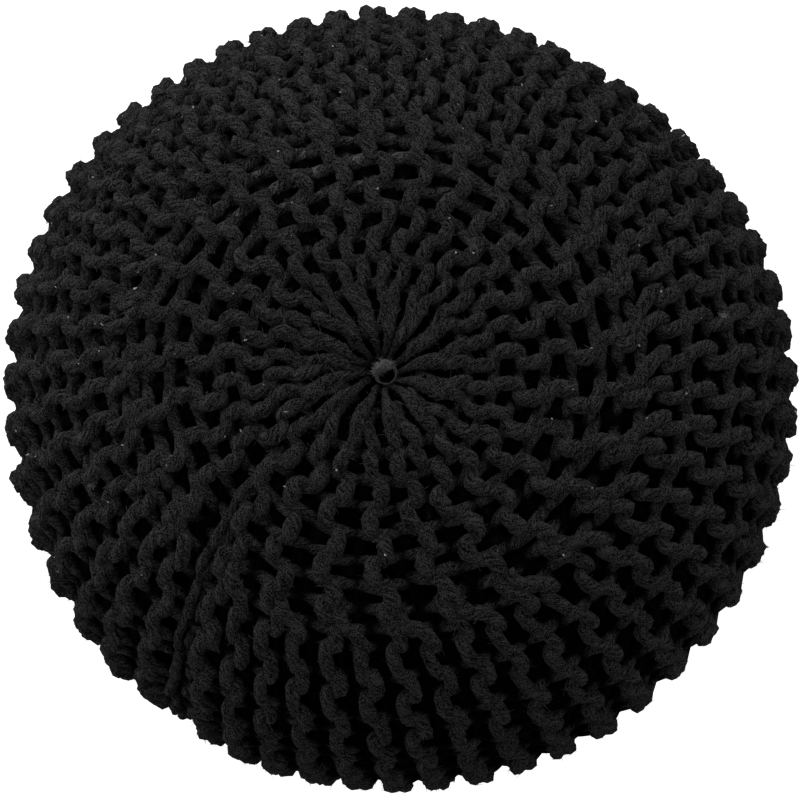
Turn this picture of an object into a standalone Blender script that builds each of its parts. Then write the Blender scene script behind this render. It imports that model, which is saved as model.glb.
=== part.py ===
"""Knitted floor pouf: one filled garter-stitch cover, drawn closed over its top on a cord.

The cover is knitted sideways, so its ribs run from the gather over the crown and down the side.
Short rows shape the crown: every second rib stops short of it, and every second one of the rest
stops before the gather. Metres, +Z up, with the origin on the floor under the middle of the pouf.
"""

import math

import bmesh
import bpy

# The filled body
RADIUS = 0.250  # at the widest ring, halfway between the ribs' tops and the valleys
HEIGHT = 0.330  # from the floor to the top of the crown
WIDEST_AT = 0.172  # height of the widest ring
CROWN_POWER = 2.5  # 2 is an ellipse, and more is a flatter crown with fuller shoulders
BELLY_POWER = 2.3
BASE_SHARE = 0.60  # radius of the flat base, as a share of RADIUS

# The ribs, counted at the widest ring, where each takes COLUMNS columns of points
RIBS = 56
COLUMNS = 4
RIB_HEIGHT = 0.0062
RIB_ROUNDNESS = 0.85  # under 1 is a full, round-topped rib
SHORT_ROWS_END = 0.64  # share of RADIUS where every second rib stops
GATHER_ROWS_END = 0.18  # share of RADIUS where every second one of the rest stops
FADE = 0.04  # share of RADIUS over which a stopped rib sinks away
CROWN_CROWDING = 0.07  # how much closer the ribs sit at the back than at the front
SIDE_CROWDING = 0.125
CROWDING_RISES = (0.44, 0.74)  # shares of RADIUS between which it grows

# The side seam, which joins the knitted panel's two ends
SEAM_AZIMUTH = math.radians(226)
SEAM_LEAN = math.radians(26)  # turn of the seam's line from the middle to the widest ring
SEAM_REACH = math.radians(40)  # how far to each side the ribs lean with it
SEAM_DEPTH = 0.004
SEAM_HALF_WIDTH = math.radians(5)

# The gather and its closing cord
GATHER_DEPTH = 0.011
GATHER_FLOOR = 0.0098  # radius of the level bottom of the gather
GATHER_MOUTH = 0.026
CORD_RING = 0.0062  # radius of the ring's centre line
CORD_THICKNESS = 0.0044
CORD_PLY_DEPTH = 0.08
CORD_TWISTS = 12
CORD_SIDES = 8
STEPS_A_TWIST = 6
PIECE_GAP = 0.0003

# How far the hand-filled body is from round: waves about the axis, share of radius, phase
OUT_OF_ROUND = (
    (2, 0.0076, math.radians(37)),
    (3, 0.0072, math.radians(-25)),
    (5, 0.0033, math.radians(-71)),
)

# The rings of points from the gather to the edge of the base: side of the widest ring, share of RADIUS
CROWN, BELLY = 1, -1
STATIONS = (
    (CROWN, 0.020),
    (CROWN, 0.039),
    (CROWN, 0.052),
    (CROWN, 0.072),
    (CROWN, 0.104),
    (CROWN, 0.160),
    (CROWN, 0.210),
    (CROWN, 0.300),
    (CROWN, 0.400),
    (CROWN, 0.500),
    (CROWN, 0.595),
    (CROWN, 0.685),
    (CROWN, 0.770),
    (CROWN, 0.850),
    (CROWN, 0.915),
    (CROWN, 0.965),
    (CROWN, 0.990),
    (CROWN, 1.000),
    (BELLY, 0.992),
    (BELLY, 0.965),
    (BELLY, 0.920),
    (BELLY, 0.840),
    (BELLY, 0.730),
    (BELLY, BASE_SHARE),
)

SLOPE_STEP = 0.002  # share of RADIUS over which the body's slope is taken

COTTON = ("cotton_knit", (0.018, 0.018, 0.019), 0.95)
CORD = ("cord_wool", (0.060, 0.060, 0.062), 0.90)


def smooth_step(low, high, value):
    """0 below low, 1 above high, and a smooth rise between them."""
    share = min(max((value - low) / (high - low), 0.0), 1.0)
    return share * share * (3 - 2 * share)


def clear_scene():
    for old in list(bpy.data.objects):
        bpy.data.objects.remove(old, do_unlink=True)


def make_material(name, colour, roughness):
    material = bpy.data.materials.new(name)
    material.use_nodes = True
    shader = material.node_tree.nodes["Principled BSDF"]
    shader.inputs["Base Color"].default_value = (*colour, 1.0)
    shader.inputs["Roughness"].default_value = roughness
    shader.inputs["Metallic"].default_value = 0.0
    return material


def add_object(name, mesh, finish, collection):
    made = bpy.data.objects.new(name, mesh)
    mesh.materials.append(make_material(*finish))
    mesh.shade_smooth()
    collection.objects.link(made)
    return made


def body_height(side, share):
    """Height of the smooth body at a share of its radius, before the gather and the ribs."""
    if side == CROWN:
        return WIDEST_AT + (HEIGHT - WIDEST_AT) * (1 - share**CROWN_POWER) ** (1 / CROWN_POWER)
    base_drop = (1 - BASE_SHARE**BELLY_POWER) ** (1 / BELLY_POWER)
    drop = (1 - share**BELLY_POWER) ** (1 / BELLY_POWER)
    return WIDEST_AT * (1 - drop / base_drop)


def gather_drop(radius):
    """How far the knitting is drawn down into the gather."""
    return GATHER_DEPTH * (1 - smooth_step(GATHER_FLOOR, GATHER_MOUTH, radius))


def rib_bump(column, one_in):
    """Height share where one rib in so many is left: 1 on its top, and 0 halfway to the next."""
    columns = RIBS * COLUMNS
    span = one_in * COLUMNS
    past_first = (column - COLUMNS // 2) % columns
    rib_top = past_first // span * span
    to_next = min(span, columns - rib_top)
    return abs(math.cos(math.pi * (past_first - rib_top) / to_next)) ** RIB_ROUNDNESS


def rib_height(column, share):
    """Height share of the ribs: every fourth at the gather, every second on the crown, then all."""
    past_gather_rows = smooth_step(GATHER_ROWS_END - FADE, GATHER_ROWS_END + FADE, share)
    past_short_rows = smooth_step(SHORT_ROWS_END - FADE, SHORT_ROWS_END + FADE, share)
    at_gather, on_crown, below = (rib_bump(column, one_in) for one_in in (4, 2, 1))
    inner = at_gather + (on_crown - at_gather) * past_gather_rows
    return inner + (below - inner) * past_short_rows


def seam_distance(column):
    """Angle from the seam to a column, the shorter way round."""
    turn = 2 * math.pi * column / (RIBS * COLUMNS)
    return min(turn, 2 * math.pi - turn)


def rib_azimuth(column, share, side):
    """Direction of a column of points, closer together at the back, and leaning with the seam."""
    azimuth = SEAM_AZIMUTH + 2 * math.pi * column / (RIBS * COLUMNS)
    way_down = share if side == CROWN else 2 - share
    crowding = CROWN_CROWDING
    crowding += (SIDE_CROWDING - CROWN_CROWDING) * smooth_step(*CROWDING_RISES, way_down)
    azimuth += crowding * (math.cos(azimuth) - math.cos(SEAM_AZIMUTH))
    lean = SEAM_LEAN * (way_down - SHORT_ROWS_END)
    return azimuth + lean * math.exp(-((seam_distance(column) / SEAM_REACH) ** 2))


def facing(side, share):
    """The way out of the body, as its parts away from the axis and up: level at the widest ring and
    at the base, whose edge stays flat on the floor."""
    if share == 1 or (side == BELLY and share == BASE_SHARE):
        return 1.0, 0.0
    rise = (body_height(side, share) - body_height(side, share - SLOPE_STEP)) / (RADIUS * SLOPE_STEP)
    length = math.hypot(1, rise)
    return -side * rise / length, side / length


def roundness(azimuth):
    return 1 + sum(size * math.cos(waves * azimuth + phase) for waves, size, phase in OUT_OF_ROUND)


def cover_point(station, column):
    """The point of the knitted surface at a ring and a column."""
    side, share = STATIONS[station]
    azimuth = rib_azimuth(column, share, side)
    from_seam = seam_distance(column)
    past_gather = smooth_step(GATHER_FLOOR, GATHER_MOUTH / 2, RADIUS * share)
    past_crown = smooth_step(0.1, 0.9, share)
    lift = RIB_HEIGHT * (rib_height(column, share) - 0.5) * past_gather
    lift -= SEAM_DEPTH * math.exp(-((from_seam / SEAM_HALF_WIDTH) ** 2)) * past_crown
    out, up = facing(side, share)
    radius = RADIUS * share * (1 + (roundness(azimuth) - 1) * past_crown) + lift * out
    height = body_height(side, share) + lift * up
    if side == CROWN:
        height -= gather_drop(RADIUS * share)
    return radius * math.cos(azimuth), radius * math.sin(azimuth), height


def kept_column(column, side, share):
    """The column of points that this one is let into, where fewer ribs and columns are left."""
    if side == BELLY or share > SHORT_ROWS_END:
        return column
    if share > GATHER_ROWS_END:
        return column - column % 2
    return (column - (column - COLUMNS // 2) % COLUMNS) % (RIBS * COLUMNS)


def make_cover(collection):
    """The filled cover: a ball's rings and columns, moved to the pouf's form, with a flat base."""
    columns = RIBS * COLUMNS
    rings = len(STATIONS) + 1
    ball = bmesh.new()
    bmesh.ops.create_uvsphere(ball, u_segments=columns, v_segments=rings, radius=1)
    placed = {}
    for vert in ball.verts:
        ring = round(math.acos(max(-1.0, min(1.0, vert.co.z))) / math.pi * rings)
        if ring == 0:
            vert.co = (0, 0, HEIGHT - GATHER_DEPTH)
        elif ring > len(STATIONS):
            vert.co = (0, 0, 0)
        else:
            column = round(math.atan2(vert.co.y, vert.co.x) / (2 * math.pi) * columns) % columns
            placed[ring - 1, column] = vert
    for (station, column), vert in placed.items():
        vert.co = cover_point(station, column)

    # Where ribs have stopped, the columns between the ones kept are let into their neighbours.
    let_in = {}
    for (station, column), vert in placed.items():
        kept = kept_column(column, *STATIONS[station])
        if kept != column:
            let_in[vert] = placed[station, kept]
    bmesh.ops.weld_verts(ball, targetmap=let_in)

    # The base is one flat face on the floor.
    base = [face for face in ball.faces if all(vert.co.z == 0 for vert in face.verts)]
    bmesh.ops.dissolve_faces(ball, faces=base, use_verts=True)
    bmesh.ops.recalc_face_normals(ball, faces=ball.faces)
    mesh = bpy.data.meshes.new("knit_cover")
    ball.to_mesh(mesh)
    ball.free()
    return add_object("knit_cover", mesh, COTTON, collection)


def make_cord(collection):
    """The closing cord: a two-ply ring that lies in the gather, just clear of the knitting."""
    bpy.ops.mesh.primitive_torus_add(
        major_segments=STEPS_A_TWIST * CORD_TWISTS,
        minor_segments=CORD_SIDES,
        major_radius=CORD_RING,
        minor_radius=CORD_THICKNESS / 2,
    )
    ring = bpy.context.object
    mesh = ring.data
    for vert in mesh.vertices:
        turn = math.atan2(vert.co.y, vert.co.x)
        out = math.hypot(vert.co.x, vert.co.y) - CORD_RING
        around = math.atan2(vert.co.z, out)
        ply = 1 - CORD_PLY_DEPTH * (1 + math.cos(2 * around - CORD_TWISTS * turn))
        radius = CORD_RING + out * ply
        vert.co = (radius * math.cos(turn), radius * math.sin(turn), vert.co.z * ply)
    bpy.data.objects.remove(ring, do_unlink=True)
    cord = add_object("closing_cord", mesh, CORD, collection)
    cord.location.z = HEIGHT - GATHER_DEPTH + CORD_THICKNESS / 2 + PIECE_GAP
    return cord


def build():
    clear_scene()
    pouf = bpy.data.collections.new("knitted_pouf")
    bpy.context.scene.collection.children.link(pouf)
    make_cover(pouf)
    make_cord(pouf)


build()
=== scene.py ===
import math

import bpy
import numpy as np
from mathutils import Matrix, Vector


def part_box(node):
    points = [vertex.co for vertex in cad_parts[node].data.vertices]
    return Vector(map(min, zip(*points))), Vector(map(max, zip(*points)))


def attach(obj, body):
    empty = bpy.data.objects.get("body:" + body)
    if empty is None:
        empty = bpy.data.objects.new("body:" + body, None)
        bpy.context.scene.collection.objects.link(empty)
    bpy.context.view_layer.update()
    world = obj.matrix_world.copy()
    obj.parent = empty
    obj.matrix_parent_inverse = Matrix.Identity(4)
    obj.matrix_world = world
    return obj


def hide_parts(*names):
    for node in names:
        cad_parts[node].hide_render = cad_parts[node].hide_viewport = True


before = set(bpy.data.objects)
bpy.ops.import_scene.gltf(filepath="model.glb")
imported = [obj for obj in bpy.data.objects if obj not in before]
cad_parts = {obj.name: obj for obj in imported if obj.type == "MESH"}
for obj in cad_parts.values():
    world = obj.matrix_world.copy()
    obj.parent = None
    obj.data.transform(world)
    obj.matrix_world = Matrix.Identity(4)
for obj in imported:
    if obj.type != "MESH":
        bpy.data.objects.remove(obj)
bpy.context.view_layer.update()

# ---------------------------------------------------------------------------------------------
# The filled body: a round bag stuffed tight, with a low crown, a full belly and a base pressed
# flat by its own weight. What shows of it is the inside of the knitting, which lies closed
# on the filling behind the stitches; it is coloured near black, far darker than the yarn, as painted
# shade.

RIB_STANDS = 0.0031  # the ribs' tops over the body's mean surface
_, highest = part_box("knit_cover")
HEIGHT = highest[2] - RIB_STANDS
RADIUS = 0.250  # at the widest ring
WIDEST_AT = 0.172  # height of the widest ring
CROWN_POWER, BELLY_POWER = 2.5, 2.3  # 2 is an ellipse, and more is a fuller shoulder
BASE_SHARE = 0.60  # radius of the flat base, as a share of RADIUS
GATHER_DEPTH, GATHER_FLOOR, GATHER_MOUTH = 0.011, 0.0098, 0.026  # the last two are radii
CURVE_POINTS, BASE_POINTS, EVEN_POINTS = 400, 200, 1400
SOFT_POINTS = 25  # of the even ones, over which a sharp turn of the cloth is rounded

RIBS = 56
CROWN_CROWDING, SIDE_CROWDING = 0.07, 0.125  # how much closer the ribs sit at the back
CROWDING_RISES = (0.44, 0.74)  # shares of RADIUS between which it grows
SEAM_AZIMUTH = math.radians(226)
SEAM_LEAN = math.radians(26)  # turn of the seam's line from the middle to the widest ring
LEAN_FROM = 0.64  # share of RADIUS where that line crosses SEAM_AZIMUTH
SEAM_REACH = math.radians(40)  # how far to each side the ribs lean with it
SEAM_DEPTH, SEAM_HALF_WIDTH = 0.004, math.radians(5)
SEAM_OPEN = 0.30  # how far the ribs beside the seam stand away from it, in ribs
OPEN_TURN, OPEN_REACH = 0.3, 1.8  # how quickly that grows beside the seam, and its reach, in ribs
OPEN_RISES = (0.30, 0.45)  # shares of RADIUS between which it grows down the crown
OUT_OF_ROUND = ((2, 0.0076, 37), (3, 0.0072, -25), (5, 0.0033, -71))  # waves, share, phase in degrees
ROUND_RISES = (0.1, 0.9)  # shares of RADIUS between which the body gets out of round
LEAST_OUT, LEAST_TURN = 0.0005, 0.008  # radii that keep the yarn's points off the axis


def rise(low_end, high_end, value):
    """0 below low_end, 1 above high_end, and a smooth rise between them."""
    share = np.clip((value - low_end) / (high_end - low_end), 0, 1)
    return share * share * (3 - 2 * share)


def body_line():
    """The body's outline from the gather to the middle of the base: even steps of the way down it,
    and the radius and height at each."""
    crown = np.sin(np.linspace(0, math.pi / 2, CURVE_POINTS))
    crown_up = np.maximum(1 - crown**CROWN_POWER, 0) ** (1 / CROWN_POWER)
    crown_up = WIDEST_AT + (HEIGHT - WIDEST_AT) * crown_up
    crown_up -= GATHER_DEPTH * (1 - rise(GATHER_FLOOR, GATHER_MOUTH, RADIUS * crown))
    belly = np.sin(np.linspace(math.pi / 2, math.asin(BASE_SHARE), CURVE_POINTS))
    base_drop = (1 - BASE_SHARE**BELLY_POWER) ** (1 / BELLY_POWER)
    belly_drop = np.maximum(1 - belly**BELLY_POWER, 0) ** (1 / BELLY_POWER)
    belly_up = WIDEST_AT * (1 - belly_drop / base_drop)
    base = np.linspace(BASE_SHARE, 0, BASE_POINTS)
    out = RADIUS * np.concatenate([crown, belly[1:], base[1:]])
    up = np.concatenate([crown_up, belly_up[1:], 0 * base[1:]])
    way = np.concatenate([[0], np.cumsum(np.hypot(np.diff(out), np.diff(up)))])
    even = np.linspace(0, way[-1], EVEN_POINTS)
    out, up = np.interp(even, way, out), np.interp(even, way, up)
    # The cloth can't turn sharply at the edge of the base, nor at the lip of the gather.
    soft = np.hanning(SOFT_POINTS) / np.hanning(SOFT_POINTS).sum()
    inner = slice(SOFT_POINTS // 2, -(SOFT_POINTS // 2))
    out[inner] = np.convolve(out, soft, "valid")
    up[inner] = np.convolve(up, soft, "valid")
    return even, out, np.maximum(up, 0)


WAY, OUT, UP = body_line()
FACE_OUT, FACE_UP = -np.gradient(UP, WAY), np.gradient(OUT, WAY)
WIDEST = np.argmax(OUT)
WIDEST_WAY = WAY[WIDEST]


def way_to(share, below=False):
    """The way down the outline to where the radius is this share of the widest."""
    if below:
        return float(np.interp(-share * RADIUS, -OUT[WIDEST:], WAY[WIDEST:]))
    return float(np.interp(share * RADIUS, OUT[:WIDEST], WAY[:WIDEST]))


def seam_distance(rib):
    """Angle from the seam to a rib, the shorter way round."""
    turn = (2 * math.pi * (rib + 0.5) / RIBS) % (2 * math.pi)
    return np.minimum(turn, 2 * math.pi - turn)


def rib_azimuth(rib, way):
    """The direction of a rib, closer to the next at the back, and leaning with the seam."""
    share = np.interp(way, WAY, OUT) / RADIUS
    way_down = np.where(way < WIDEST_WAY, share, 2 - share)
    past_seam = (rib + 0.5 + RIBS / 2) % RIBS - RIBS / 2
    opened = SEAM_OPEN * np.tanh(past_seam / OPEN_TURN) * np.exp(-((past_seam / OPEN_REACH) ** 2))
    opened = opened * rise(*OPEN_RISES, way_down)
    azimuth = SEAM_AZIMUTH + 2 * math.pi * (rib + 0.5 + opened) / RIBS
    crowding = CROWN_CROWDING + (SIDE_CROWDING - CROWN_CROWDING) * rise(*CROWDING_RISES, way_down)
    azimuth = azimuth + crowding * (np.cos(azimuth) - math.cos(SEAM_AZIMUTH))
    beside_seam = np.exp(-((seam_distance(rib) / SEAM_REACH) ** 2))
    return azimuth + SEAM_LEAN * (way_down - LEAN_FROM) * beside_seam


def on_body(way, rib, lift, across=0.0):
    """Points on the body, and the way out of it there: so far down the outline, at a rib, lifted off
    the mean surface and moved across the ribs, in metres."""
    out, up = np.interp(way, WAY, OUT), np.interp(way, WAY, UP)
    face_out, face_up = np.interp(way, WAY, FACE_OUT), np.interp(way, WAY, FACE_UP)
    past_crown = rise(*ROUND_RISES, out / RADIUS)
    lift = lift - SEAM_DEPTH * np.exp(-((seam_distance(rib) / SEAM_HALF_WIDTH) ** 2)) * past_crown
    azimuth = rib_azimuth(rib, way) + across / np.maximum(out, LEAST_TURN)
    roundness = 1 + past_crown * sum(
        share * np.cos(waves * azimuth + math.radians(phase)) for waves, share, phase in OUT_OF_ROUND
    )
    radius = np.maximum(out * roundness + lift * face_out, LEAST_OUT)
    cos, sin = np.cos(azimuth), np.sin(azimuth)
    place = np.stack([radius * cos, radius * sin, up + lift * face_up], -1)
    facing = np.stack([face_out * cos, face_out * sin, face_up], -1)
    return place, facing


YARN = 0.0095  # thickness of the cover's yarn
# How far the yarn's middle swings out and in from the middle of the knitting: less on the crown,
# where the cover is pulled wide open
CROWN_REACH, SIDE_REACH = 0.0048, 0.0049
REACH_GROWS = way_to(0.50), way_to(0.80)
BASE_FLATTENS = way_to(0.70, below=True), way_to(BASE_SHARE, below=True)
BASE_SUNK = 0.0004  # how far the weight presses the flat ribs in


def knit_reach(way):
    return CROWN_REACH + (SIDE_REACH - CROWN_REACH) * rise(*REACH_GROWS, way)


def knit_middle(way):
    """Height of the knitting's middle layer over the mean surface: on the base its ribs lie flat."""
    on_base = rise(*BASE_FLATTENS, way)
    return RIB_STANDS * (1 - on_base) - BASE_SUNK * on_base - knit_reach(way) - YARN / 2


def smooth_mesh(name, verts, faces):
    mesh = bpy.data.meshes.new(name)
    mesh.from_pydata(verts.tolist(), [], faces)
    mesh.shade_smooth()
    piece = bpy.data.objects.new(name, mesh)
    bpy.context.scene.collection.objects.link(piece)
    return piece


def new_material(name, **values):
    """A material with its shader's values set, and what makes the rest of it: its nodes, the shader
    and the call that joins two sockets."""
    material = bpy.data.materials.new(name)
    material.use_nodes = True
    tree = material.node_tree
    shader = tree.nodes["Principled BSDF"]
    for socket, value in values.items():
        shader.inputs[socket.replace("_", " ")].default_value = value
    return material, tree, shader, tree.links.new


def node(tree, kind, **values):
    """A shader node with its plain values and inputs set."""
    made = tree.nodes.new(kind)
    for name, value in values.items():
        if hasattr(made, name):
            setattr(made, name, value)
        else:
            made.inputs[name.replace("_", " ")].default_value = value
    return made


def worked_out(tree, operation, *values):
    """What a sum makes of other sockets and of plain numbers."""
    made = node(tree, "ShaderNodeMath", operation=operation)
    for place, value in enumerate(values):
        if isinstance(value, bpy.types.NodeSocket):
            tree.links.new(value, made.inputs[place])
        else:
            made.inputs[place].default_value = value
    return made.outputs[0]


def dyed(tree, value, dark_at, dark, light_at, light):
    """Two colours, and between them a blend, by a value from dark_at to light_at."""
    made = node(tree, "ShaderNodeValToRGB")
    dark_end, light_end = made.color_ramp.elements
    dark_end.position, dark_end.color = dark_at, (*dark, 1)
    light_end.position, light_end.color = light_at, (*light, 1)
    tree.links.new(value, made.inputs["Fac"])
    return made.outputs["Color"]


def raised(tree, height, strength, distance, under=None):
    """The way a surface faces once it is raised by a height, over the relief that is under it."""
    made = node(tree, "ShaderNodeBump", Strength=strength, Distance=distance)
    tree.links.new(height, made.inputs["Height"])
    if under is not None:
        tree.links.new(under, made.inputs["Normal"])
    return made.outputs["Normal"]


def patches(tree, scale, **values):
    """Soft patches that stay in place on the pouf, so many to the metre."""
    place = node(tree, "ShaderNodeTexCoord")
    made = node(tree, "ShaderNodeTexNoise", Scale=scale, **values)
    tree.links.new(place.outputs["Object"], made.inputs["Vector"])
    return made.outputs["Fac"]


def inside_cloth():
    """Painted shade: black cotton coloured far darker than the yarn, with the soft lumps of stitches
    seen from behind.
    """
    material, tree, shader, join = new_material("inside_of_knit", Roughness=1.0, Specular_IOR_Level=0.0)
    place = node(tree, "ShaderNodeTexCoord")
    lumps = node(tree, "ShaderNodeTexVoronoi", feature="SMOOTH_F1", Scale=70.0, Smoothness=0.5)
    join(place.outputs["Object"], lumps.inputs["Vector"])
    fibres = patches(tree, 900.0, Detail=6.0)
    # Painted shade: near black, far darker than the yarn's own black, for the shade behind the stitches.
    colour = dyed(tree, fibres, 0.0, (0.0004, 0.0004, 0.0004), 1.0, (0.0014, 0.0014, 0.0015))
    join(colour, shader.inputs["Base Color"])
    height = worked_out(tree, "MULTIPLY_ADD", fibres, 0.3, lumps.outputs["Distance"])
    join(raised(tree, height, 0.8, 0.002), shader.inputs["Normal"])
    return material


BODY_COLUMNS, BODY_ROWS = 174, 90
BODY_SUNK = 0.0015  # the backs of the stitches press this far into the filling
TOP_HOLE, BASE_HOLE = 0.006, 0.004  # the way to the first ring of points, and from the last
OFF_FLOOR = 0.001  # so that the filling doesn't show through the base

ways = np.linspace(TOP_HOLE, WAY[-1] - BASE_HOLE, BODY_ROWS)
columns = np.arange(BODY_COLUMNS) * RIBS / BODY_COLUMNS
grid_way, grid_rib = np.meshgrid(ways, columns, indexing="ij")
behind_stitches = knit_middle(grid_way) - knit_reach(grid_way) - YARN / 2 + BODY_SUNK
verts, _ = on_body(grid_way, grid_rib, behind_stitches)
verts = verts.reshape(-1, 3)
verts[:, 2] = np.maximum(verts[:, 2], OFF_FLOOR)
faces = []
for row in range(BODY_ROWS - 1):
    here, below = row * BODY_COLUMNS, (row + 1) * BODY_COLUMNS
    for column in range(BODY_COLUMNS):
        beside = (column + 1) % BODY_COLUMNS
        faces.append((here + column, below + column, below + beside, here + beside))
faces.append(tuple(range(BODY_COLUMNS)))
faces.append(tuple((BODY_ROWS - 1) * BODY_COLUMNS + column for column in reversed(range(BODY_COLUMNS))))
filled_body = smooth_mesh("filled_body", verts, faces)
filled_body.data.materials.append(inside_cloth())
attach(filled_body, "root")
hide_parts("knit_cover")

# ---------------------------------------------------------------------------------------------
# The knitted cover: thick, loosely plied black cotton in garter stitch, knitted sideways. Each rib
# is a knit row and a purl row, whose loops come out to the face and lock there, and go back to
# lock with the next rib's behind the valley. Short rows leave out ribs on the crown.

STITCH = 0.033  # one stitch along a rib
STEPS, SIDES = 18, 8  # points in a stitch, and round the yarn
PANELS = 8  # meshes, each of as many ribs

# Where the ribs start and end, in stitches from the gather and from the middle of the base
ROUND_STITCHES = int(WAY[-1] / STITCH)  # from the gather to the middle of the base
LONG_ROWS, GATHER_ROWS, SHORT_ROWS = 0.1, 1, 4.75
LONG_ROWS_UNDER, GATHER_ROWS_UNDER, SHORT_ROWS_UNDER = 0.25, 1, 5
CLOSED_UP = 0.0055  # how far the stitches are pushed together where the short rows start
CLOSED_BETWEEN = (4.5, 5.6)  # and between which stitches from the gather
ROW_TURN = 0.009  # half the way over which a rib that starts pushes its neighbours apart
START_BESIDE = 0.55  # how much nearer to its neighbour a short row starts, as a share of a rib
START_OVER = 1.0  # the stitches over which the two part
START_SUNK = 0.0030  # how much lower a short row's first loop starts
START_RISES = (0.05, 0.45)  # and the parts of that stitch between which it comes up

# The distances from the axis between which the long strands at the gather turn to open loops
CURLY_BETWEEN = (0.024, 0.070)
LOOSE_BETWEEN = (0.032, 0.060)
SIDE_BETWEEN = (0.52, 0.72)  # shares of RADIUS between which the crown's loops turn to the side's

# The shape of a loop
CROWN_OVERLAP, SIDE_OVERLAP = 0.0042, 0.0036  # how far a loop reaches past the rib's middle
TIGHT_OVERLAP = 0.3  # the share of it that is left at the gather
CROWN_BULGE, SIDE_BULGE = 0.055, 0.115  # how far a loop's head is wider than its neck, in stitches
FRONT_PURL_LONGER = 0.055  # how much longer a purl loop is at the side's front, in stitches
PURL_OVER = 0.3  # how much more the purl loops lie over the knit ones on the side
SQUARED = 0.80  # how straight a loop's head and legs lie on the crown, where it is pulled wide
SIDE_ROUNDER = 0.35  # and how much less so on the side
LEAN = 0.0036  # how far the loops on a rib's face lean over at the front right, where it is most
MOST_LEANING = math.radians(-20)
LEAN_FALLS = 3.5  # how quickly the lean falls off to both sides of there
LEAST_LEAN, CROWN_LEAN = 0.12, 0.3  # shares of it that are left at the far side and on the crown
DIVE = 0.0120  # how deep the strands go down to the cord
DIVE_BETWEEN = (0.0070, 0.0120)  # and between which distances from the axis
ENDS_CLEAR = 0.004  # the yarn stops this far before the two middles
TURN_REACH, TURN_POINTS = 0.016, 9  # how far a rib's yarn swings out where it turns back

# How far hand knitting strays: along the rib, across it and in depth, and the yarn's thickness
STRAYS_ALONG, STRAYS_ACROSS, STRAYS_DEEP = 0.0017, 0.0010, 0.0005
YARN_UNEVEN = 0.055  # along the yarn, as a share
WOOLLY = 0.082  # from point to point round about, as a share

# The yarn's thickness, as shares of YARN
DRAWN_YARN = 0.84  # where it is drawn tight at the gather
DRAWN_BETWEEN = (0.03, 0.11)  # the distances from the axis over which it gets full
CROWN_YARN, SIDE_THINNER = 1.03, 0.10
STRANDS_FILL = 0.71  # share of the ring at the gather that its strands take up
LEG_DRAWN = 0.16  # how much thinner a loop's legs are drawn at the middle of the crown
LEGS_FULL_BETWEEN = (0.120, 0.150)  # the distances from the axis over which they get full
HEAD_FULLER, CROWN_HEADS = 0.17, 0.4  # how much fuller its head is, and the crown's share of that
FRONT_LEG_DRAWN = 0.20  # how far heads and legs are apart besides, at the crown's front
FRONT_HEADS = 0.85  # and the share of that which makes the heads full

# How near the yarn is to the face, with painted light and shade added, which its colour goes by as
# painted shade: 1 and more is bright, and 0 is black
FACE_SHADE = 36.0  # how quickly the yarn is painted darker into the knitting, as shade, to the metre
FACE_MIDDLE, FACE_DEPTH = 0.51, 0.32  # halfway into the knitting, and from there to its face
DIVE_SHADE = 1.6  # painted shade: how much quicker it darkens where the yarn dives
FRONT_SHADE, FRONT_LEG_SHADE = 0.25, 0.045  # painted shade at the side's front, and on the crown's front legs
SIDE_BRIGHT, LEFT_BRIGHT = 0.030, 0.043  # painted light on the whole side, and besides towards its left

# Painted highlights: bright spots where the yarn comes up to the light at the back of the crown
HIGHLIGHTS_BETWEEN, HIGHLIGHTS_FADE = (0.124, 0.148), 0.01  # how far out they are
HIGHLIGHTS_AT, HIGHLIGHTS_REACH = math.radians(108), math.radians(48)
HIGHLIGHT_BEFORE, HIGHLIGHT_LONG = 0.17, 0.07  # where a highlight is on its loop and how long, in stitches
HIGHLIGHT_BRIGHT = 1.7

chance = np.random.default_rng(7)


def rib_ends(rib):
    """Stitches from the gather to a rib's first one and to its last."""
    if rib % 4 == 0:
        return LONG_ROWS, ROUND_STITCHES - LONG_ROWS_UNDER
    if rib % 4 == 2:
        return GATHER_ROWS, ROUND_STITCHES - GATHER_ROWS_UNDER
    return SHORT_ROWS, ROUND_STITCHES - SHORT_ROWS_UNDER


COVER = [rib_ends(rib) for rib in range(RIBS)]


def there(rib, way):
    """1 where a rib is knitted, 0 where its row was left out."""
    first, last = COVER[rib % RIBS]
    begun = rise(first * STITCH - ROW_TURN, first * STITCH + ROW_TURN, way)
    return begun * (1 - rise(last * STITCH - ROW_TURN, last * STITCH + ROW_TURN, way))


def middle(rib, way):
    """Where a rib's middle runs, in ribs: a short row starts close beside its neighbour."""
    if rib % 4 == 0:
        return rib + 0 * way
    first, last = COVER[rib % RIBS]
    apart = rise(first * STITCH, (first + START_OVER) * STITCH, way)
    apart = apart * (1 - rise((last - START_OVER) * STITCH, last * STITCH, way))
    return rib - START_BESIDE * (1 - apart) * (1 if rib % 2 else 2)


def gap(rib, toward, way):
    """Ribs from this one to the next that is knitted, on one side of it."""
    beside, beyond = rib + toward, rib + 2 * toward
    here = middle(rib, way)
    if rib % 2:
        return np.abs(middle(beside, way) - here)
    next_even = np.abs(middle(beyond, way) - here)
    if rib % 4 == 0:
        joined = there(beyond, way)
        next_even = joined * next_even + (1 - joined) * 4
    joined = there(beside, way)
    return joined * np.abs(middle(beside, way) - here) + (1 - joined) * next_even


def drift(steps, size, reach=0.5):
    """Slow random wander along a yarn: one draw each reach of a stitch, joined smoothly."""
    knots = max(int(np.ceil((steps[-1] - steps[0]) / reach)) + 3, 4)
    draws = chance.normal(0, 1, knots)
    at = (steps - steps[0]) / reach
    low_knot = at.astype(int)
    part = rise(0, 1, at - low_knot)
    return size * (draws[low_knot] * (1 - part) + draws[low_knot + 1] * part)


def toward_front(azimuth):
    """1 at the front of the pouf, 1/4 at its two sides and 0 at the back."""
    return ((1 - np.sin(azimuth)) / 2) ** 2


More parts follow.
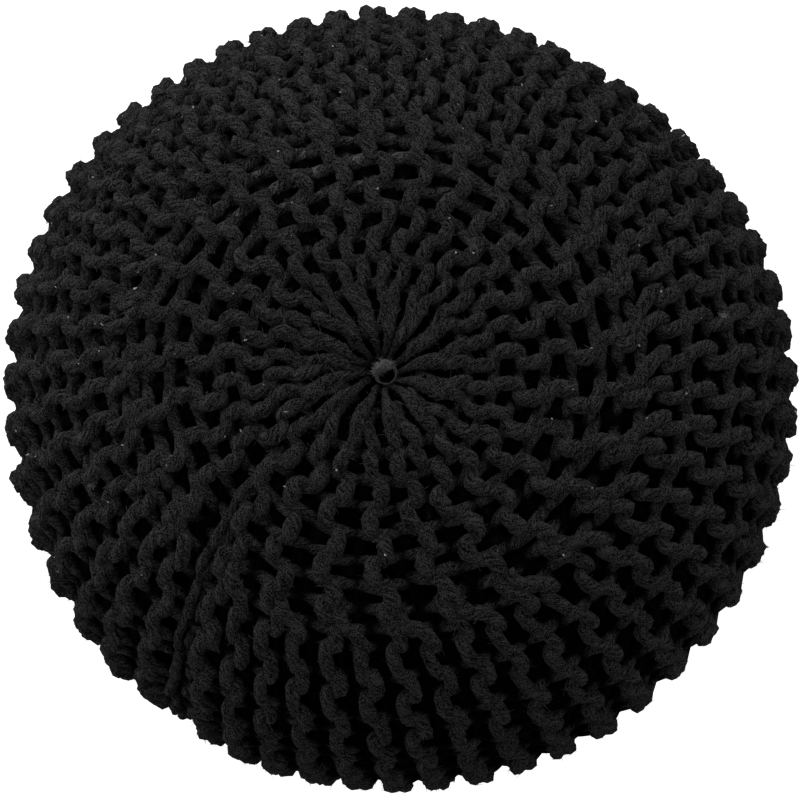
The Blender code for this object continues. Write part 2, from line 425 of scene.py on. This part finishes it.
def drawn_radius(out, plain_out, side, curly, crown_front, on_leg):
    """The yarn's radius along a row: thin at the gather and on a loop's legs, and full at its head."""
    drawn = DRAWN_YARN + (1 - DRAWN_YARN) * rise(*DRAWN_BETWEEN, out)
    legs = LEG_DRAWN * curly * (1 - rise(*LEGS_FULL_BETWEEN, plain_out)) * on_leg
    legs = legs + FRONT_LEG_DRAWN * crown_front * (on_leg - FRONT_HEADS)
    heads = HEAD_FULLER * (CROWN_HEADS + (1 - CROWN_HEADS) * side) * curly * (0.5 - on_leg)
    drawn = drawn * (CROWN_YARN - SIDE_THINNER * side) * (1 - legs) * (1 + heads)
    # The strands at the gather share the ring that they come in by.
    ring = STRANDS_FILL * 2 * math.pi * np.maximum(out, DIVE_BETWEEN[1])
    crowded = np.minimum(1, ring / (RIBS / 4) / YARN / drawn)
    return YARN / 2 * drawn * crowded


def painted_highlights(step, purl, plain_out, azimuth):
    """Painted highlights: how much brighter a row is painted beside the places where it locks."""
    first_out, last_out = HIGHLIGHTS_BETWEEN
    here = rise(first_out - HIGHLIGHTS_FADE, first_out, plain_out)
    here = here * (1 - rise(last_out, last_out + HIGHLIGHTS_FADE, plain_out))
    here = here * np.exp(-(((azimuth % (2 * math.pi)) - HIGHLIGHTS_AT) / HIGHLIGHTS_REACH) ** 2)
    from_lock = (step + (0.5 if purl else 0) + HIGHLIGHT_BEFORE + 0.5) % 1 - 0.5
    return HIGHLIGHT_BRIGHT * here * np.exp(-((from_lock / HIGHLIGHT_LONG) ** 2))


def course(rib, purl):
    """One row of loops along a rib: the yarn's places, facings and radii, and how near the face it is,
    with the painted light and shade added that its colour goes by. A knit row's loops come up to the
    rib's face. A purl row's go down from it, and lie over them."""
    first, last = COVER[rib]
    step = np.linspace(first, last, int(round((last - first) * STEPS)) + 1)
    plain_way = STITCH * step - CLOSED_UP * rise(*CLOSED_BETWEEN, step)
    plain_out = np.interp(plain_way, WAY, OUT)
    loose, curly = rise(*LOOSE_BETWEEN, plain_out), rise(*CURLY_BETWEEN, plain_out)
    side = rise(*SIDE_BETWEEN, np.where(plain_way > WIDEST_WAY, 1, plain_out / RADIUS))
    front = toward_front(rib_azimuth(rib, plain_way))
    wave = np.sin(2 * math.pi * step)
    on_leg = wave**2

    # The way along the rib: a loop's neck is narrower than its head.
    bulge = (CROWN_BULGE + (SIDE_BULGE - CROWN_BULGE) * side) * STITCH * curly
    longer = FRONT_PURL_LONGER * STITCH * side * front
    way = plain_way + bulge * np.sin(4 * math.pi * step) + longer * wave
    way = way + drift(step, STRAYS_ALONG)
    way = np.clip(way, ENDS_CLEAR, WAY[-1] - ENDS_CLEAR)
    out = np.interp(way, WAY, OUT)

    # The swing between the face and the back, and from this rib halfway to the next.
    swing = np.cos(2 * math.pi * step)
    squared = np.sin(math.pi / 2 * np.sin(math.pi / 2 * swing))
    swing = swing + (squared - swing) * SQUARED * (1 - SIDE_ROUNDER * side) * curly
    head_share = 1 - loose + loose * (1 - swing) / 2
    space = gap(rib, 1 if purl else -1, way)
    if purl:
        at_rib = middle(rib, way) + space / 2 * head_share
        depth = 1 - 2 * head_share
        depth = np.where(depth > 0, depth * (1 + PURL_OVER * side * (1 - depth**2)), depth)
    else:
        at_rib = middle(rib, way) - space / 2 * (1 - head_share)
        depth = 2 * head_share - 1
        depth = np.where(depth > 0, np.abs(depth) ** (1 + PURL_OVER * side), depth)
    azimuth = rib_azimuth(at_rib, way)

    # The overlap where it locks with the other row, and the lean of the loops on the face.
    half_pitch = 2 * math.pi * out / RIBS * space / 2
    overlap = CROWN_OVERLAP + (SIDE_OVERLAP - CROWN_OVERLAP) * side
    overlap = np.minimum(0.5 * half_pitch, overlap) * (TIGHT_OVERLAP + (1 - TIGHT_OVERLAP) * curly)
    leaning = np.exp(-LEAN_FALLS * (1 - np.cos(azimuth - MOST_LEANING)))
    leaning = LEAST_LEAN + (1 - LEAST_LEAN) * leaning
    lean = LEAN * (CROWN_LEAN + (1 - CROWN_LEAN) * side) * leaning * wave
    across = -overlap * swing * loose + (lean if purl else -lean) + drift(step, STRAYS_ACROSS)

    # The strands at the gather dive steeply to the cord, and a short row's first loop lies low.
    dive = DIVE * (1 - rise(*DIVE_BETWEEN, out))
    if rib % 4:
        dive = dive + START_SUNK * (1 - rise(first + START_RISES[0], first + START_RISES[1], step))
    lift = knit_reach(way) * depth + knit_middle(way) + drift(step, STRAYS_DEEP) - dive
    place, facing = on_body(way, at_rib, lift, across)

    crown_front = (1 - side) * front * curly
    radius = drawn_radius(out, plain_out, side, curly, crown_front, on_leg)
    radius = radius * (1 + drift(step, YARN_UNEVEN))
    # Painted shade: the deeper the yarn lies in the knitting, and where it dives to the cord, the darker
    # it is painted.
    face = FACE_MIDDLE + FACE_DEPTH * depth - DIVE_SHADE * dive * FACE_SHADE
    # Painted shade at the side's front.
    face = face - side * FRONT_SHADE * toward_front(azimuth)
    # Painted light: the side is painted brighter, more so towards its left.
    face = face + side * (SIDE_BRIGHT + LEFT_BRIGHT * (1 - np.cos(azimuth)))
    # Painted shade on the crown's front legs.
    face = face - FRONT_LEG_SHADE * crown_front * on_leg
    return place, facing, radius, face + painted_highlights(step, purl, plain_out, azimuth)


def hairpin(knit, purl):
    """A whole rib as one yarn: in along its knit row, round the turn, and out along its purl row."""
    start, finish = knit[0][0], purl[0][0]
    inward, outward = knit[0][0] - knit[0][2], purl[0][2] - purl[0][0]
    inward, outward = (way * TURN_REACH / np.linalg.norm(way) for way in (inward, outward))
    t = np.linspace(0, 1, TURN_POINTS)[1:-1, None]
    bend = (
        (2 * t**3 - 3 * t**2 + 1) * start + (t**3 - 2 * t**2 + t) * inward
        + (3 * t**2 - 2 * t**3) * finish + (t**3 - t**2) * outward
    )
    facing = knit[1][0] * (1 - t) + purl[1][0] * t
    radius, face = ((knit[part][0] * (1 - t) + purl[part][0] * t)[:, 0] for part in (2, 3))
    turn = (bend, facing, radius, face)
    return tuple(np.concatenate([k[::-1], b, p]) for k, b, p in zip(knit, turn, purl))


def tube(place, facing, radius, sides):
    """Rings of points round a yarn's path, each turned as little as can be from the one before."""
    carried_on = 0.8  # the share of the last ring's turn, against the body's own facing
    heading = np.gradient(place, axis=0)
    heading /= np.linalg.norm(heading, axis=1, keepdims=True)
    side = np.cross(heading, facing)
    for now in range(1, len(place)):
        carried = side[now - 1] - heading[now] * (side[now - 1] @ heading[now])
        side[now] = carried_on * carried / np.linalg.norm(carried) + (1 - carried_on) * side[now]
        side[now] -= heading[now] * (side[now] @ heading[now])
    side /= np.linalg.norm(side, axis=1, keepdims=True)
    up = np.cross(side, heading)
    angle = 2 * math.pi * np.arange(sides) / sides
    reach = radius[:, None] * (1 + chance.normal(0, WOOLLY, (len(place), sides)))
    return (
        place[:, None, :]
        + (reach * np.cos(angle))[..., None] * side[:, None, :]
        + (reach * np.sin(angle))[..., None] * up[:, None, :]
    )


class Skein:
    """Yarns gathered into one mesh, each with a map of the way along it and round it, and with how
    near each point is to the face of the knitting."""

    def __init__(self, sides=SIDES):
        self.sides = sides
        self.count = 0
        self.verts, self.outward, self.near_face = [], [], []
        self.faces, self.maps = [], []

    def add(self, place, facing, radius, face):
        """One yarn, along a path, with its two ends closed."""
        sides, length = self.sides, len(place)
        step = np.linalg.norm(np.diff(place, axis=0), axis=1)
        along = np.concatenate([[0], np.cumsum(step)]) + chance.uniform(0, 1)
        ring = tube(place, facing, radius, sides)
        from_middle = ring - place[:, None, :]
        stands = (from_middle * facing[:, None, :]).sum(-1)
        self.verts.append(ring.reshape(-1, 3))
        self.outward.append((from_middle / radius[:, None, None]).reshape(-1, 3))
        self.near_face.append((face[:, None] + FACE_SHADE * stands).ravel())

        rows, cols = np.meshgrid(np.arange(length - 1), np.arange(sides), indexing="ij")
        here, over = rows * sides + cols, rows * sides + (cols + 1) % sides
        quads = np.stack([here, over, over + sides, here + sides], -1).reshape(-1, 4) + self.count
        self.faces.extend(quads.tolist())
        u0, u1, v0, v1 = along[rows], along[rows + 1], cols / sides, (cols + 1) / sides
        corners = ((u0, v0), (u0, v1), (u1, v1), (u1, v0))
        self.maps.append(np.stack([np.stack(corner, -1) for corner in corners], -2).reshape(-1, 2))

        last_ring = self.count + (length - 1) * sides
        self.faces.append(list(range(self.count + sides - 1, self.count - 1, -1)))
        self.faces.append(list(range(last_ring, last_ring + sides)))
        ends = np.zeros((2 * sides, 2))
        ends[:sides, 0], ends[sides:, 0] = along[0], along[-1]
        self.maps.append(ends)
        self.count += length * sides

    def piece(self, name, material):
        """The mesh of all its yarns, with nothing below the floor."""
        verts = np.concatenate(self.verts)
        verts[:, 2] = np.maximum(verts[:, 2], 0.0)
        made = smooth_mesh(name, verts, self.faces)
        layer = made.data.uv_layers.new(name="YarnMap")
        layer.data.foreach_set("uv", np.concatenate(self.maps).astype(np.float32).ravel())
        shown = made.data.attributes.new("near_face", "FLOAT", "POINT")
        shown.data.foreach_set("value", np.concatenate(self.near_face).astype(np.float32))
        made.data.materials.append(material)
        return made


PLY_PITCH = 0.030  # one turn of the yarn's three plies
FIBRES_LONG = 50.0  # how finely the fibres vary along the yarn, to the metre


def cotton_yarn():
    """Black cotton: three loose plies, each of many fibres, fuzzy and without shine."""
    material, tree, shader, join = new_material(
        "black_cotton_yarn", Roughness=0.95, Diffuse_Roughness=1.0, Specular_IOR_Level=0.0,
        Sheen_Weight=0.025, Sheen_Roughness=0.5)
    yarn_map = node(tree, "ShaderNodeUVMap", uv_map="YarnMap")
    parts = node(tree, "ShaderNodeSeparateXYZ")
    join(yarn_map.outputs["UV"], parts.inputs[0])
    along, round_about = parts.outputs["X"], parts.outputs["Y"]
    # The way round the yarn turns with the plies as the yarn goes along.
    turned = worked_out(tree, "MULTIPLY_ADD", along, -1 / PLY_PITCH, round_about)
    radians = worked_out(tree, "MULTIPLY", turned, 2 * math.pi)
    plies = worked_out(tree, "COSINE", worked_out(tree, "MULTIPLY", radians, 3.0))
    fibre_place = node(tree, "ShaderNodeCombineXYZ")
    join(worked_out(tree, "MULTIPLY", along, FIBRES_LONG), fibre_place.inputs["X"])
    join(worked_out(tree, "COSINE", radians), fibre_place.inputs["Y"])
    join(worked_out(tree, "SINE", radians), fibre_place.inputs["Z"])
    strands = node(tree, "ShaderNodeTexNoise", Scale=3.2, Detail=5.0, Roughness=0.7)
    join(fibre_place.outputs[0], strands.inputs["Vector"])
    strands = strands.outputs["Fac"]
    fuzz = patches(tree, 1150.0, Detail=3.0, Roughness=0.7)
    worn = patches(tree, 9.0, Detail=3.0)

    mixed = worked_out(tree, "MULTIPLY_ADD", strands, 0.40, worked_out(tree, "MULTIPLY", fuzz, 0.60))
    colour = dyed(tree, mixed, 0.474, (0.0045, 0.0045, 0.0045), 0.543, (0.124, 0.124, 0.125))
    # Painted shade and light: the colour is painted darker down between the ribs, where shade falls,
    # to full black, and painted brighter at the highlights.
    face = node(tree, "ShaderNodeAttribute", attribute_name="near_face")
    painted_shade = node(tree, "ShaderNodeMapRange", interpolation_type="SMOOTHSTEP",
                  From_Min=0.36, From_Max=0.56, To_Min=0.02, To_Max=1.0)
    # Painted highlights: where near_face goes over 1, the colour is painted brighter.
    bright = node(tree, "ShaderNodeMapRange", interpolation_type="SMOOTHSTEP",
                  From_Min=1.0, From_Max=1.5, To_Min=1.0, To_Max=2.5)
    shade = node(tree, "ShaderNodeMapRange", To_Min=0.75, To_Max=1.25)
    join(face.outputs["Fac"], painted_shade.inputs["Value"])
    join(face.outputs["Fac"], bright.inputs["Value"])
    join(worn, shade.inputs["Value"])
    shaded_and_lit = worked_out(tree, "MULTIPLY", painted_shade.outputs[0], bright.outputs[0])
    both = worked_out(tree, "MULTIPLY", shaded_and_lit, shade.outputs[0])
    shaded_colour = node(tree, "ShaderNodeMix", data_type="RGBA", blend_type="MULTIPLY", Factor=1.0)
    join(colour, shaded_colour.inputs["A"])
    join(both, shaded_colour.inputs["B"])
    join(shaded_colour.outputs["Result"], shader.inputs["Base Color"])

    relief = raised(tree, plies, 0.5, 0.0010)
    relief = raised(tree, strands, 0.9, 0.0012, relief)
    relief = raised(tree, fuzz, 0.8, 0.0012, relief)
    join(relief, shader.inputs["Normal"])
    return material


COTTON = cotton_yarn()
skeins = []
for panel in range(PANELS):
    skein = Skein()
    for rib in range(panel * RIBS // PANELS, (panel + 1) * RIBS // PANELS):
        knit, purl = course(rib, purl=False), course(rib, purl=True)
        if rib % 4:
            skein.add(*hairpin(knit, purl))
        else:
            skein.add(*knit)
            skein.add(*purl)
    stitches = skein.piece(f"knit_stitches_{panel + 1}", COTTON)
    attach(stitches, "root")
    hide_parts("knit_cover")
    skeins.append(skein)

# ---------------------------------------------------------------------------------------------
# The side seam: the panel's first and last rows are laced together with a thinner length of the
# same cotton, whose two long strands lie down the hollow between those ribs.

SEAM_YARN = 0.0066  # its thickness
SEAM_STITCH, SEAM_STEPS = 0.027, 14  # one of its stitches, and the points in it
SEAM_FROM, SEAM_TO = way_to(0.30), way_to(0.80, below=True)
SEAM_STRANDS = ((-0.03, 0.02, 0.0044), (0.14, 0.04, 0.0085))  # aside and swing in ribs, and sunk
SEAM_DIPS = 0.0030  # how far a strand goes down and up at each stitch
SEAM_START_SUNK, SEAM_START_RISES = 0.006, 0.6  # how low it starts, and for how many stitches
SEAM_STRAYS = (0.0015, 0.012, 0.0005)  # along, across in ribs, and in depth
SEAM_UNEVEN = 0.09
SEAM_FACE = 0.72  # how near the face it would be if it weren't sunk

along_strays, across_strays, deep_strays = SEAM_STRAYS
lacing = Skein()
step = np.arange(int((SEAM_TO - SEAM_FROM) / SEAM_STITCH * SEAM_STEPS)) / SEAM_STEPS
for aside, swing, sunk in SEAM_STRANDS:
    turn = math.pi * step
    way = SEAM_FROM + step * SEAM_STITCH + drift(step, along_strays, 1.0)
    across = aside + swing * np.sin(turn) + drift(step, across_strays, 1.5)
    down = sunk + SEAM_DIPS * np.cos(2 * turn) ** 3 + drift(step, deep_strays, 1.0)
    down = down + SEAM_START_SUNK * (1 - rise(0, SEAM_START_RISES, step))
    place, facing = on_body(way, across - 0.5, RIB_STANDS - down - SEAM_YARN / 2)
    radius = SEAM_YARN / 2 * (1 + drift(step, SEAM_UNEVEN))
    # Painted shade: the sunk seam strands are painted darker with their depth.
    lacing.add(place, facing, radius, SEAM_FACE - FACE_SHADE * down)
seam = lacing.piece("seam_lacing", COTTON)
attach(seam, "root")
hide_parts("knit_cover")

# ---------------------------------------------------------------------------------------------
# The closing cord: two plies of softer, dark grey wool, drawn tight in a ring at the middle of the
# gather, so that the strands of the cover dive under it. Its ends are inside.

PLY = 0.0040  # thickness of one ply where it is full
CORD_SIDES = 9
PLY_OUT, PLY_UP = 0.50, 0.42  # how far a ply's middle is from the cord's, as shares of PLY
RING_OUTER = 0.0078  # radius of the ring's outer edge
RING_AT = (0.0024, -0.0014)  # its middle lies a little to the right and front of the axis
RING_UP, RING_TILT = 0.0010, 0.0022  # how far it is raised, and more so at its back
RING_TWISTS, RING_STEPS = 4, 110
FULLEST = math.radians(116)  # the back of the ring stands up full, and the rest is drawn thin
THINNEST, THIN_POWER = 0.14, 1.6  # the plies there, as a share, and how quickly they get thin

low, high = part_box("closing_cord")
RING_MIDDLE = (low[2] + high[2]) / 2
wool_skein = Skein(sides=CORD_SIDES)
for start in (0, math.pi):
    turn = np.linspace(0, 2 * math.pi, RING_STEPS)
    twist = RING_TWISTS * turn + start
    full = THINNEST + (1 - THINNEST) * (0.5 + 0.5 * np.cos(turn - FULLEST)) ** THIN_POWER
    out = PLY_OUT * PLY * np.cos(twist) * full
    up = PLY_UP * PLY * np.sin(twist) * full + RING_TILT * np.cos(turn - FULLEST) + RING_UP
    place = np.stack([
        RING_AT[0] + (RING_OUTER - PLY * full + out) * np.cos(turn),
        RING_AT[1] + (RING_OUTER - PLY * full + out) * np.sin(turn),
        RING_MIDDLE + up,
    ], -1)
    facing = np.tile([0.0, 0.0, 1.0], (RING_STEPS, 1))
    wool_skein.add(place, facing, PLY / 2 * full, full)


def wool():
    """Dark grey wool, hairy, lighter on the hairs that stand out."""
    material, tree, shader, join = new_material(
        "grey_wool", Roughness=0.95, Specular_IOR_Level=0.15, Sheen_Weight=0.3, Sheen_Roughness=0.5)
    hairs = patches(tree, 1400.0, Detail=5.0, Roughness=0.75)
    colour = dyed(tree, hairs, 0.44, (0.010, 0.010, 0.010), 0.60, (0.340, 0.338, 0.334))
    join(colour, shader.inputs["Base Color"])
    join(raised(tree, hairs, 0.9, 0.0008), shader.inputs["Normal"])
    return material


cord = wool_skein.piece("drawn_cord", wool())
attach(cord, "root")
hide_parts("closing_cord")

# ---------------------------------------------------------------------------------------------
# Stray fibres: short ends of cotton that stand off the yarn and give the cover its soft edge, loose
# wool on the cord, and a few specks and puffs of white lint that have caught on the cover.

UPRIGHT_STRAYS, LYING_STRAYS = 0.25, 0.45  # how far a hair heads off course, and more if it lies
BENT = 0.35
TAPER = (1.0, 0.8, 0.4)  # thickness at the root, the middle and the tip


def fibres(roots, outward, lengths, thickness, lie):
    """Bent hairs, each a closed three-sided tube that tapers to its tip, as one mesh's points and
    faces. lie: how much they lie along the yarn, from 0 to 1."""
    count = len(roots)
    astray = chance.normal(0, 1, (2, count, 3))
    heading = outward * (1 - lie) + astray[0] * (UPRIGHT_STRAYS + LYING_STRAYS * lie)
    heading /= np.linalg.norm(heading, axis=1, keepdims=True)
    bend = astray[1] * BENT
    t = np.array([0.0, 0.5, 1.0])[None, :, None]
    line = roots[:, None, :] + lengths[:, None, None] * (heading[:, None] * t + bend[:, None] * t**2)
    side = np.cross(heading, astray[1])
    side /= np.linalg.norm(side, axis=1, keepdims=True)
    over = np.cross(heading, side)
    thirds = 2 * math.pi * np.arange(3) / 3
    taper = np.array(TAPER)[None, :, None, None] * np.reshape(thickness, (-1, 1, 1, 1)) / 2
    ring = side[:, None, None] * np.cos(thirds)[:, None] + over[:, None, None] * np.sin(thirds)[:, None]
    verts = (line[:, :, None, :] + ring * taper).reshape(-1, 3)
    one = [(r * 3 + c, r * 3 + (c + 1) % 3, r * 3 + 3 + (c + 1) % 3, r * 3 + 3 + c)
           for r in range(2) for c in range(3)]
    own_points = 9 * np.arange(count)[:, None, None]
    quads = (np.array(one)[None] + own_points).reshape(-1, 4)
    caps = (np.array([[2, 1, 0], [6, 7, 8]])[None] + own_points).reshape(-1, 3)
    return verts, quads.tolist() + caps.tolist()


def plain_cloth(name, dark, light, scale):
    """A matt fibre that varies between two colours from place to place."""
    material, tree, shader, join = new_material(name, Roughness=0.9, Specular_IOR_Level=0.2)
    colour = dyed(tree, patches(tree, scale, Detail=3.0), 0.35, dark, 0.7, light)
    join(colour, shader.inputs["Base Color"])
    return material


yarn_points = np.concatenate([np.concatenate(skein.verts) for skein in skeins])
yarn_outward = np.concatenate([np.concatenate(skein.outward) for skein in skeins])
yarn_face = np.concatenate([np.concatenate(skein.near_face) for skein in skeins])

FIBRES, FIBRE_THICK, FIBRE_LENGTHS = 12000, 0.00032, (0.0015, 0.0042)
FIBRE_SUNK = 0.0001  # how far its root is in the yarn
FIBRE_FACE, FIBRE_HEIGHT = 0.56, 0.02  # only from here to the face, and from here up
showing = np.flatnonzero((yarn_face > FIBRE_FACE) & (yarn_points[:, 2] > FIBRE_HEIGHT))
# The stray fibres are real ends of the cotton; the pale ones are coloured much paler than the black
# yarn, as painted sheen of fine fibres in the light.
for name, dark, light in (("stray_fibres", 0.02, 0.10), ("pale_fibres", 0.07, 0.30)):
    picked = chance.choice(showing, FIBRES, replace=False)
    roots = yarn_points[picked] - FIBRE_SUNK * yarn_outward[picked]
    lengths = chance.uniform(*FIBRE_LENGTHS, FIBRES)
    verts, faces = fibres(roots, yarn_outward[picked], lengths, FIBRE_THICK, lie=0.78)
    fuzz = smooth_mesh(name, verts, faces)
    fuzz.data.materials.append(plain_cloth(name, (dark,) * 3, (light,) * 3, 200.0))
    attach(fuzz, "root")
    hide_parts("knit_cover")

HAIRS, HAIR_THICK, HAIR_LENGTHS = 700, 0.00022, (0.0012, 0.0030)
HAIRY_FROM = 0.5  # only where the cord is full
cord_points, cord_outward = np.concatenate(wool_skein.verts), np.concatenate(wool_skein.outward)
where_full = np.flatnonzero(np.concatenate(wool_skein.near_face) > HAIRY_FROM)
picked = chance.choice(where_full, HAIRS)
lengths = chance.uniform(*HAIR_LENGTHS, HAIRS)
verts, faces = fibres(cord_points[picked], cord_outward[picked], lengths, HAIR_THICK, lie=0.6)
fluff = smooth_mesh("cord_fluff", verts, faces)
fluff.data.materials.append(plain_cloth("loose_wool", (0.10, 0.10, 0.10), (0.55, 0.55, 0.54), 300.0))
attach(fluff, "root")
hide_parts("closing_cord")

SPECKS, SPECK_LENGTHS, SPECK_THICK = 140, (0.0006, 0.0018), (0.0007, 0.0017)
PUFFS, PUFF_HAIRS, PUFF_ACROSS = 3, 60, 0.0026
PUFF_LENGTHS, PUFF_THICK = (0.0010, 0.0024), 0.00012
LINT_FACE, LINT_HEIGHT, LINT_CLEAR = 0.90, 0.08, 0.05  # the last is how far from the middle it starts
from_middle = np.hypot(yarn_points[:, 0], yarn_points[:, 1])
high_up = (yarn_points[:, 2] > LINT_HEIGHT) & (from_middle > LINT_CLEAR)
showing = np.flatnonzero((yarn_face > LINT_FACE) & high_up)
picked = chance.choice(showing, SPECKS + PUFFS, replace=False)
specks, puffs = picked[:SPECKS], np.repeat(picked[SPECKS:], PUFF_HAIRS)
spread = chance.normal(0, PUFF_ACROSS / 2, (len(puffs), 3))
roots = np.concatenate([yarn_points[specks], yarn_points[puffs] + spread])
outward = yarn_outward[np.concatenate([specks, puffs])]
speck_lengths = chance.uniform(*SPECK_LENGTHS, SPECKS)
puff_lengths = chance.uniform(*PUFF_LENGTHS, len(puffs))
speck_thickness = chance.uniform(*SPECK_THICK, SPECKS)
thickness = np.concatenate([speck_thickness, np.full(len(puffs), PUFF_THICK)])
verts, faces = fibres(roots, outward, np.concatenate([speck_lengths, puff_lengths]), thickness, lie=0.75)
lint = smooth_mesh("lint", verts, faces)
lint.data.materials.append(plain_cloth("white_lint", (0.60, 0.60, 0.59), (0.94, 0.94, 0.92), 200.0))
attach(lint, "root")
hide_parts("knit_cover")

# ---------------------------------------------------------------------------------------------
# The studio: a pale floor, soft round lamps above, behind and low all round, and a long lens that
# looks down from a little to the front and right.

FLOOR_HALF, FLOOR_DOWN = 4, 0.0005
floor_corners = [(x * FLOOR_HALF, y * FLOOR_HALF, 0) for x, y in ((-1, -1), (1, -1), (1, 1), (-1, 1))]
floor_mesh = bpy.data.meshes.new("floor")
floor_mesh.from_pydata(floor_corners, [], [(0, 1, 2, 3)])
floor = bpy.data.objects.new("floor", floor_mesh)
floor.location.z = -FLOOR_DOWN
bpy.context.scene.collection.objects.link(floor)
paper, _, paper_shader, _ = new_material("pale_paper", Roughness=0.9, Emission_Strength=1.00)
paper_shader.inputs["Base Color"].default_value = (0.86, 0.86, 0.86, 1)
paper_shader.inputs["Emission Color"].default_value = (1, 1, 1, 1)
floor_mesh.materials.append(paper)
floor.visible_diffuse = False  # the paper is lit white by itself, and throws no glow up on the pouf

world = bpy.data.worlds.new("studio")
world.use_nodes = True
world.node_tree.nodes["Background"].inputs["Color"].default_value = (1, 1, 1, 1)
world.node_tree.nodes["Background"].inputs["Strength"].default_value = 0.13
bpy.context.scene.world = world

LAMPS_AIM = Vector((0, 0, 0.2))


def soft_box(name, place, width, power):
    """A soft round lamp that shines on the upper part of the pouf."""
    light = bpy.data.lights.new(name, "AREA")
    light.shape, light.size, light.energy = "DISK", width, power
    lamp = bpy.data.objects.new(name, light)
    lamp.location = place
    lamp.rotation_euler = (LAMPS_AIM - Vector(place)).to_track_quat("-Z", "Y").to_euler()
    bpy.context.scene.collection.objects.link(lamp)


soft_box("back", (-0.35, 1.15, 1.25), 1.0, 6.2)
soft_box("top", (-0.7, 0.1, 2.3), 1.2, 2.3)
soft_box("front", (1.9, -1.1, 0.8), 1.2, 3.5)
soft_box("low_left", (-1.9, -0.4, 0.30), 1.2, 9.0)
soft_box("low_right", (1.7, 1.1, 0.30), 1.2, 7.0)
soft_box("low_back", (-0.9, 1.75, 0.30), 1.2, 6.0)

CAMERA_DISTANCE = 5.0
TILT_RIGHT, TILT_FRONT = math.radians(3.9), math.radians(7.1)
LOOK_AT = Vector((0.0015, -0.0005, 0.172))
FRAME_WIDTH = 0.5125  # what the photo's width takes in at the widest ring
lens = bpy.data.cameras.new("camera")
lens.sensor_width = 36
lens.lens = lens.sensor_width * CAMERA_DISTANCE / FRAME_WIDTH
lens.clip_end = 20
camera = bpy.data.objects.new("camera", lens)
toward = Vector((math.sin(TILT_RIGHT), -math.sin(TILT_FRONT), 1)).normalized()
right = Vector((0, 1, 0)).cross(toward).normalized()
turned = Matrix((right, toward.cross(right), toward)).transposed().to_4x4()
camera.matrix_world = Matrix.Translation(LOOK_AT + toward * CAMERA_DISTANCE) @ turned
bpy.context.scene.collection.objects.link(camera)
bpy.context.scene.camera = camera
bpy.context.scene.view_settings.view_transform = "Standard"
